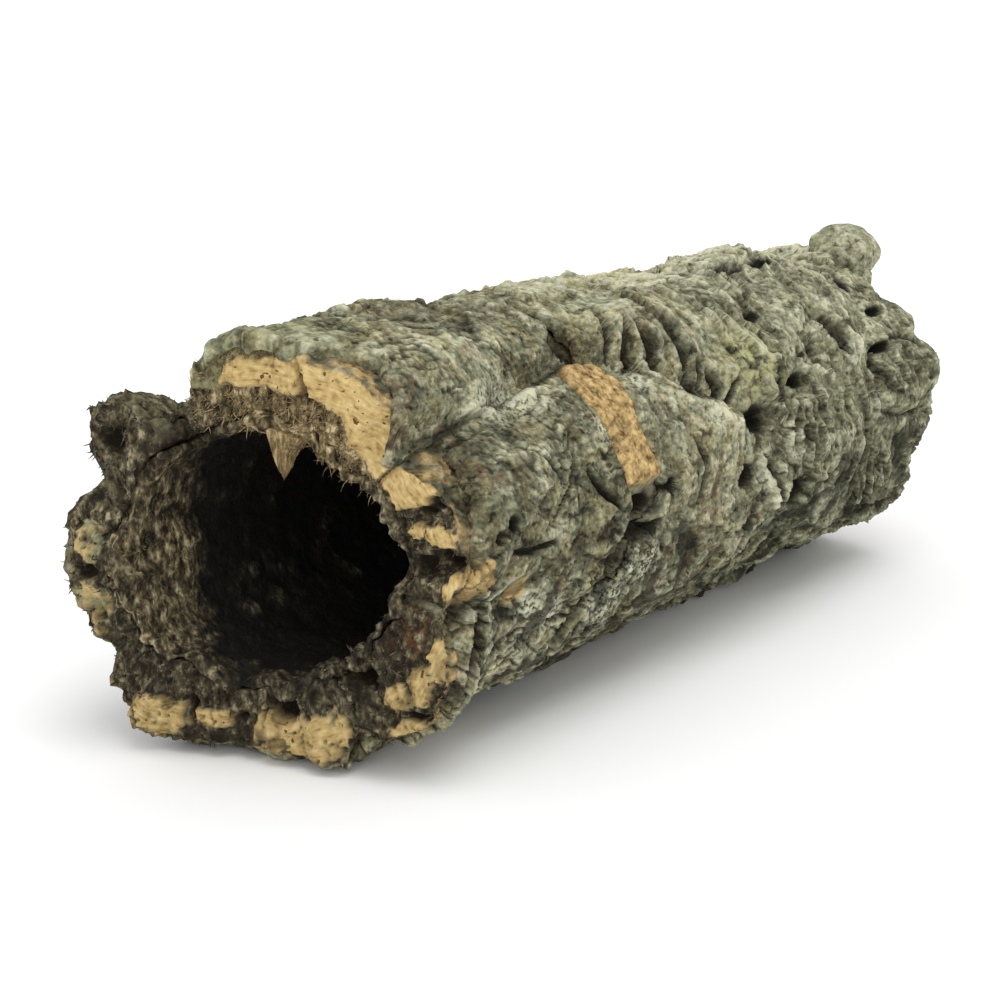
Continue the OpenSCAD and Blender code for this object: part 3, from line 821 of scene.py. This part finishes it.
# pads of tan cork on the darker ribs: x, z of the middle, half width, half height, turn
tanPads = [
    dict(x=65, z=69, wide=5, high=6, turn=10), dict(x=64, z=47, wide=5, high=7, turn=10),
    dict(x=57, z=37, wide=6, high=6, turn=0), dict(x=47, z=31, wide=8, high=4, turn=15),
    dict(x=53, z=21, wide=10, high=4, turn=10), dict(x=59, z=87, wide=8, high=3.5, turn=-8),
    dict(x=-37, z=15.5, wide=9, high=7.5, turn=-20), dict(x=-19, z=15.5, wide=6, high=3.5, turn=0),
    dict(x=13, z=12, wide=19, high=8, turn=4),
    dict(x=-60, z=74, wide=6, high=6, turn=8), dict(x=-58, z=52, wide=7, high=9, turn=10),
]
# voids in the cut face, dark with painted shade
voids = [
    dict(x=61, z=99, wide=4, high=2.5, depth=5), dict(x=55, z=95, wide=4, high=1.8, depth=4),
    dict(x=62, z=79, wide=7, high=4, depth=7), dict(x=53, z=75, wide=4, high=4, depth=5),
    dict(x=54, z=26, wide=8, high=1.6, depth=4), dict(x=-27, z=17, wide=2.2, high=6, depth=6),
    dict(x=4.5, z=21, wide=4.5, high=3.5, depth=7), dict(x=29.5, z=19, wide=1.6, high=7, depth=6),
    dict(x=-11, z=15, wide=3, high=4, depth=5), dict(x=-49, z=109.5, wide=7.5, high=6.5, depth=8),
    dict(x=-60, z=63, wide=4, high=2.5, depth=5), dict(x=32, z=35.5, wide=7, high=5, depth=8),
]


def frontFace(co):
    # how tan, how olive and how red the front cut is at each point, its painted shade and dark patches, and
    # its relief
    angle, radius = tubePlaces(co)
    wobble = 1.6 * fbm(co, 7, 3, 41) + 1.0 * fbm(co, 2.2, 2, 40)
    edge = np.interp(angle, tanEdge["angle"], tanEdge["radius"], left=90, right=90)
    tan = smoothstep(-0.5, 0.5, radius - edge + wobble * 0.8)
    top = np.interp(angle, tanTop["angle"], tanTop["radius"])
    over = tan * smoothstep(-0.5, 0.5, radius - top + wobble) * (angle > 45)
    olive = 0.8 * over
    tan = tan * (1 - over)
    for pad in tanPads:
        c, s = math.cos(math.radians(pad["turn"])), math.sin(math.radians(pad["turn"]))
        px, pz = co[:, 0] - pad["x"], co[:, 2] - pad["z"]
        far = np.hypot((px * c + pz * s) / pad["wide"], (pz * c - px * s) / pad["high"])
        shape = fade(0.92, 1.06, far + 0.26 * wobble)
        if pad["x"] < -45:
            olive = np.maximum(olive, shape)
            shape = 0.75 * shape * smoothstep(-0.15, 0.25, fbm(co, 4.5, 2, 50))
        tan = np.maximum(tan, shape)
    deep = np.zeros(len(co))
    dark = np.zeros(len(co))
    for spot in voids:
        far = np.hypot((co[:, 0] - spot["x"]) / spot["wide"], (co[:, 2] - spot["z"]) / spot["high"])
        far = far + 0.28 * wobble
        deep = np.maximum(deep, spot["depth"] * fade(0.3, 1.15, far))
        dark = np.maximum(dark, fade(0.6, 1.15, far))
    # the wedge that splits the roof's face, with painted shade in it
    wedge = np.abs(angle - (72.5 + 0.35 * (radius - 64)))
    wide = np.interp(radius, [60, 63, 66, 70, 75], [0.2, 2.2, 1.8, 1.0, 0.3])
    split = fade(0.5, 1.2, wedge / wide)
    deep = np.maximum(deep, 5 * split)
    dark = np.maximum(dark, 0.75 * split)
    # the pads low down are darker in patches and cracked, with painted shade in the cracks
    lowDown = fade(25, 75, co[:, 2])
    broken = fade(0.0, 0.07, np.abs(fbm(co, 9, 2, 48)))
    deep = np.maximum(deep, 2.0 * lowDown * broken)
    patchyDark = 0.2 + 0.5 * smoothstep(0.05, 0.4, fbm(co, 8, 3, 49))
    dark = np.maximum(dark, lowDown * np.maximum(0.85 * broken, patchyDark))
    rust = 0.9 * np.exp(-((co[:, 0] - 51) / 5) ** 2 - ((co[:, 2] - 54) / 7) ** 2)
    rust = rust * smoothstep(-0.25, 0.2, fbm(co, 3.5, 2, 39))
    return tan, olive, dark, deep, rust


corkGrain = dict(right_foot=1.0, right_shoulder=1.0, roof=1.0, left_shoulder=1.2, left_wall=1.2, floor=1.2)
# smoothing rounds; in mm, how far the ribs' sides spread, how far the bare band and its upper end
# stand up, and the y beyond which the two cut ends lie
corkRib = dict(rounds=5, spread=0.9, band=5.2, bandTop=4.5, frontEnd=-120, rearEnd=150)
for rib in ribs:
    node = rib + "_cork"
    piece, co, normal = softCopy(node, "cork." + rib, corkGrain[rib], corkRib["rounds"])
    side = fade(0.3, 0.6, np.abs(facingOut(co, normal)) + np.abs(normal[:, 1]))
    meeting = side * (co[:, 1] < corkRib["frontEnd"])  # the ribs meet at the front
    co += normal * (corkRib["spread"] * meeting)[:, None]
    co = sway(co)
    angle, radius = tubePlaces(co)
    y = co[:, 1]
    ring = np.hypot((co[:, 0] - axisX) / hollow["halfWidth"],
                    (co[:, 2] - hollow["middle"]) / hollow["halfHeight"])
    outside = smoothstep(1.02, 1.22, ring)
    front = smoothstep(0.35, 0.8, -normal[:, 1]) * (y < corkRib["frontEnd"])
    back = smoothstep(0.35, 0.8, normal[:, 1]) * (y > corkRib["rearEnd"])
    height, dark, detail = barkRelief(y, angle)
    tan, olive, faceDark, deep, rust = frontFace(co)
    facing = facingOut(co, normal)
    strip = smoothstep(0.5, 0.9, facing) * outside
    nearFront = fade(-150, -140, squared(y, angle, cutLean["cork"]) + 6)
    bandFront = bandAt(angle, "front")
    bandRear = bandAt(angle, "rear")
    band = smoothstep(9, 13, angle) * (rib == "right_shoulder") * smoothstep(0.0, 0.5, facing) * outside
    band = band * smoothstep(-3, 0, y - bandFront) * smoothstep(-3, 0, bandRear - y)
    bandLift = corkRib["band"] + corkRib["bandTop"] * smoothstep(42, 51, angle)
    skin = skinPoints(y, angle)
    # outside: follows the bark above it, and fills the bare band up to the bark
    followed = outside * (1 - front) * (1 - back) * (1 - 0.5 * band) * (1 - 0.85 * smoothstep(172, 186, y))
    lift = height * followed + bandLift * band - mouthRag(co)
    co += outward(co) * lift[:, None]
    # the cut face: smooth pads of cork, rough dark layers between them
    rough = 1.9 * fbm(co, 5, 3, 42) + 1.1 * fbm(co, 2.4, 2, 43)
    streaks = 0.35 * fbm(np.column_stack([np.radians(angle) * radius, y, radius]), (9, 4, 1.3), 2, 44)
    into = front * (deep + (1 - tan) * (1.4 - rough) - tan * streaks)
    co[:, 1] += into
    co += normal * (0.3 * fbm(co, 3.0, 2, 45) * (1 - front))[:, None]
    worn = 0.85 * nearFront * (1 - front) * smoothstep(-0.3, 0.3, fbm(skin, 7, 2, 46))
    bare = np.maximum(front * tan, np.maximum(band, worn * strip))
    bare = np.maximum(bare, back * smoothstep(-0.3, 0.2, fbm(co, 8, 3, 47)))
    bast = np.maximum(front * (1 - np.maximum(tan, olive)), 1 - outside)
    # painted shade in the voids, the wedge and the cracks of the cut face, in the folds taken from the
    # bark, and on the cork's faces that show only in gaps between the bark plates; low down the cut face is
    # also darker in patches
    holes = np.maximum(front * faceDark, (1 - front) * (1 - back) * np.maximum(dark, 0.55 * (1 - bare)))
    detail = detail - 0.15 * front * olive
    writeMesh(piece, co, detail=detail, hollow=np.clip(holes, 0, 1), tan=bare, bast=bast,
              rust=front * rust, cream=front * underRoof(angle), coarse=1 - front,
              lichen=0.5 * front * olive, warm=warmField(y, angle))
    grainField = piece.data.attributes.new("grain", "FLOAT_VECTOR", "POINT")
    flow = np.column_stack([np.radians(angle) * radius / 7, y / 7, radius / 1.1])
    grainField.data.foreach_set("vector", flow.astype(np.float32).ravel())
    settle(piece, node, cutCork)
    woolly = (front > 0.5) & (tan < 0.4) & (faceDark < 0.4)
    growFuzz(woolly, co, normal, angle, (0, -0.3, -0.7))
    print("cork of", rib)

# inner bark: lumpy, granular, torn at the front edge; heights in mm
lining = dict(grain=1.7, rounds=4, lumps=2.0, granules=1.0, ridge=5.5, edge=2.0, teeth=2.5)
# how far in the hollow still catches light, mm over the turn
rimDepth = dict(turn=[90, 110, 126, 143, 172, 194, 212, 226, 262],
                depth=[12, 14, 20, 32, 42, 39, 32, 22, 14])
piece, co, normal = softCopy("inner_bark_lining", "innerBark", lining["grain"], lining["rounds"])
angle = tubePlaces(co)[0]
lumps = fbm(co, 11, 3, 51)
granules = fbm(co, 3.2, 2, 52)
frontEdge = fade(-178, -165, squared(co[:, 1], angle, cutLean["edge"]))
teeth = fbm(skinPoints(np.zeros(len(co)), angle), 7, 2, 53)
leftTurn = np.where(angle < 0, angle + 360, angle)
ridge = np.exp(-((leftTurn - 183) / 26) ** 2) * fade(-150, -95, co[:, 1])
inside = smoothstep(0.2, 0.7, -facingOut(co, normal))
co -= outward(co) * mouthRag(co)[:, None]
swell = lining["lumps"] * lumps + lining["granules"] * granules + lining["ridge"] * ridge * inside
co += normal * swell[:, None]
co[:, 1] -= frontEdge * (lining["edge"] + lining["teeth"] * np.maximum(teeth, 0))
depthIn = squared(co[:, 1], angle, cutLean["lining"]) + 182
onLeft = smoothstep(100, 130, leftTurn) * fade(232, 262, leftTurn)
lit = np.interp(leftTurn, rimDepth["turn"], rimDepth["depth"])
deepIn = smoothstep(lit - 10, lit + 34 - 20 * onLeft, depthIn)
onFloor = smoothstep(225, 245, leftTurn) * fade(300, 320, leftTurn)
# the inner bark is cream under the roof; on the left it is paler near the mouth as painted light; both fade
# deeper in the tube with the painted shade
cream = underRoof(angle) * (1 - deepIn)
cream = np.maximum(cream, 0.3 * onLeft * (1 - deepIn))
shade = np.clip(0.15 - 0.5 * lumps + 0.4 * onFloor + 0.9 * deepIn, 0, 0.97)
writeMesh(piece, co, hollow=shade, cream=cream)
settle(piece, "inner_bark_lining", innerBark)
woolly = (deepIn < 0.2) & (inside > 0.3) & ((frontEdge > 0.4) | (ridge > 0.4))
growFuzz(woolly, co, normal, angle, (0, -0.8, -0.3))

# the splinter hangs from tall mm above its foot, and drifts to the right on its way down
splinter = dict(grain=0.5, rounds=3, x=8.5, drift=2.5, wide=10.0, y=-170.5, foot=102.0, tall=18.0)
piece, co, normal = softCopy("hanging_splinter", "splinter", splinter["grain"], splinter["rounds"])
co += normal * (0.4 * fbm(co, (2.5, 2.5, 9), 2, 55))[:, None]
low, high = co.min(0), co.max(0)
rise = (co[:, 2] - low[2]) / (high[2] - low[2])
slim = 0.4 + 0.6 * smoothstep(0.35, 0.95, rise)
across = splinter["wide"] * slim * (co[:, 0] - low[0]) / (high[0] - low[0])
co[:, 0] = splinter["x"] + splinter["drift"] * (1 - rise) + across
co[:, 1] += splinter["y"] - (low[1] + high[1]) / 2
co[:, 2] = splinter["foot"] + splinter["tall"] * rise
writeMesh(piece, co)
settle(piece, "hanging_splinter", splinterWood)

knob = dict(grain=0.9, rounds=8, swell=0.3, lumps=1.5, ridges=0.3, sunk=4.0, tone=0.56, warm=0.4)
piece, co, normal = softCopy("branch_knob", "knob", knob["grain"], knob["rounds"])
lumps = fbm(co, 11, 2, 56)
ridges = 1 - 2 * np.abs(fbm(co, 7, 1, 57))
co += normal * (knob["swell"] + knob["lumps"] * lumps + knob["ridges"] * ridges)[:, None]
rise = (co[:, 2] - co[:, 2].min()) / (co[:, 2].max() - co[:, 2].min())
co[:, 2] -= knob["sunk"] * fade(0.1, 0.55, rise)  # its foot is grown into the roof
tone = np.clip(knob["tone"] + 0.04 * lumps + 0.02 * ridges, 0, 1)
writeMesh(piece, co, detail=tone, warm=np.full(len(co), knob["warm"]))
settle(piece, "branch_knob", outerBark)
print("inner bark, splinter and knob")


def addStrand(bm, root, along, length, thick, bend):
    # one tapering fibre, three-sided, grown in three steps
    heading = Vector(along).normalized()
    ring = bmesh.ops.create_circle(bm, cap_ends=True, segments=3, radius=thick)["verts"]
    bmesh.ops.rotate(bm, verts=ring, matrix=heading.to_track_quat("Z", "Y").to_matrix())
    bmesh.ops.translate(bm, verts=ring, vec=root)
    edges = list({e for v in ring for e in v.link_edges})
    for _ in range(3):
        grown = bmesh.ops.extrude_edge_only(bm, edges=edges)["geom"]
        ring = [g for g in grown if isinstance(g, bmesh.types.BMVert)]
        edges = [g for g in grown if isinstance(g, bmesh.types.BMEdge) and all(v in ring for v in g.verts)]
        heading = (heading + bend).normalized()
        bmesh.ops.translate(bm, verts=ring, vec=heading * length / 3)
        middle = (ring[0].co + ring[1].co + ring[2].co) / 3
        bmesh.ops.scale(bm, verts=ring, vec=(0.7, 0.7, 0.7), space=Matrix.Translation(-middle))
    bmesh.ops.pointmerge(bm, verts=ring, merge_co=middle)


# fibres of inner bark that stand out of the torn mouth, and the larger teeth at its rim
dice = random.Random(11)
fibreKinds = dict(
    pale=dict(count=1000, length=(2.0, 5.5), thick=(0.14, 0.3), material=paleFibre),
    moss=dict(count=600, length=(1.2, 2.8), thick=(0.25, 0.5), material=mossFibre),
    dark=dict(count=520, length=(2.0, 4.5), thick=(0.25, 0.5), material=darkFibre))
rimTeeth = [
    dict(root=(22, -165, 118), along=(-0.35, 0.1, -1), length=13, thick=2.3),
    dict(root=(29, -161, 116), along=(0.1, -0.2, -1), length=9, thick=2.0),
    dict(root=(38, -154, 108), along=(-0.7, 0, -0.7), length=8, thick=1.9),
    dict(root=(47, -142, 88), along=(-1, -0.2, -0.3), length=8, thick=1.8),
    dict(root=(48, -139, 78), along=(-1, -0.3, 0.2), length=7, thick=1.6),
    dict(root=(48, -139, 70), along=(-1, -0.3, -0.4), length=9, thick=1.8),
]
toothBend = Vector((0, 0.1, -0.1))
batch = 50  # strands made at a time, and added to the ones before
for kind, fibre in fibreKinds.items():
    places = [place for place in fuzz if place[2] == kind]
    chosen = dice.sample(places, min(fibre["count"], len(places)))
    mesh = bpy.data.meshes.new("fibres." + kind)
    for first in range(0, len(chosen), batch):
        bm = bmesh.new()
        for point, along, _ in chosen[first:first + batch]:
            lean = Vector([dice.gauss(0, 0.6) for _ in range(3)])
            heading = Vector(along).normalized() + lean
            addStrand(bm, Vector(point) - 0.6 * heading, heading, dice.uniform(*fibre["length"]),
                      dice.uniform(*fibre["thick"]), Vector([dice.gauss(0, 0.35) for _ in range(3)]))
        if kind == "pale" and first == 0:
            for tooth in rimTeeth:
                addStrand(bm, tooth["root"], tooth["along"], tooth["length"], tooth["thick"], toothBend)
        bmesh.ops.recalc_face_normals(bm, faces=bm.faces)
        bmesh.ops.scale(bm, verts=bm.verts, vec=(mm, mm, mm))
        bm.from_mesh(mesh)
        bm.to_mesh(mesh)
        bm.free()
    mesh.materials.append(fibre["material"])
    piece = addObject("fibres." + kind, mesh)
    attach(piece, "root")
    print("fibres:", kind, len(mesh.polygons), "faces")

# stage: pale floor, white behind it, soft light from above and from the front
stage = dict(floorSize=6, floorDrop=0.0004, grey=0.97, roughness=0.9, seen=1.0, soft=0.82)
floorMesh = bpy.data.meshes.new("floor")
bm = bmesh.new()
bmesh.ops.create_grid(bm, x_segments=1, y_segments=1, size=stage["floorSize"])
bm.to_mesh(floorMesh)
bm.free()
floor = addObject("floor", floorMesh)
floor.location.z = -stage["floorDrop"]
paleFloor, _, shader, _ = newMaterial("pale floor")
shader.inputs["Base Color"].default_value = (stage["grey"], stage["grey"], stage["grey"], 1)
shader.inputs["Roughness"].default_value = stage["roughness"]
floorMesh.materials.append(paleFloor)

world = bpy.data.worlds.new("studio")
bpy.context.scene.world = world
world.use_nodes = True
tree = world.node_tree
tree.nodes.clear()
seen = addNode(tree, "LightPath").outputs["Is Camera Ray"]
white = addNode(tree, "Background", {"Color": (1, 1, 1, 1), "Strength": stage["seen"]}).outputs[0]
soft = addNode(tree, "Background", {"Color": (1, 1, 1, 1), "Strength": stage["soft"]}).outputs[0]
both = addNode(tree, "MixShader", {0: seen, 1: soft, 2: white}).outputs[0]
addNode(tree, "OutputWorld", {"Surface": both})

suns = [
    dict(name="key", towards=(0.42, -0.15, 1.2), softness=40, strength=1.08),
    dict(name="side", towards=(0.7, -1.0, 0.6), softness=60, strength=0.55),
]
for sun in suns:
    light = bpy.data.lights.new(sun["name"], "SUN")
    light.energy = sun["strength"]
    light.angle = math.radians(sun["softness"])
    holder = addObject(sun["name"], light)
    holder.rotation_euler = Vector(sun["towards"]).to_track_quat("Z", "Y").to_euler()

# camera, fitted to the outline of the tube in the photo
view = dict(azimuth=36.35, elevation=15.54, lens=85.07, sensor=36, distance=0.9343,
            target=(-0.02879, 0.0, 0.05027))
azimuth = math.radians(view["azimuth"])
elevation = math.radians(view["elevation"])
back = Vector((math.sin(azimuth) * math.cos(elevation),
               -math.cos(azimuth) * math.cos(elevation),
               math.sin(elevation)))
cameraData = bpy.data.cameras.new("camera")
cameraData.lens = view["lens"]
cameraData.sensor_width = view["sensor"]
camera = addObject("camera", cameraData)
camera.location = Vector(view["target"]) + view["distance"] * back
camera.rotation_euler = back.to_track_quat("Z", "Y").to_euler()
bpy.context.scene.camera = camera
bpy.context.scene.view_settings.view_transform = "Standard"

print("scene built")
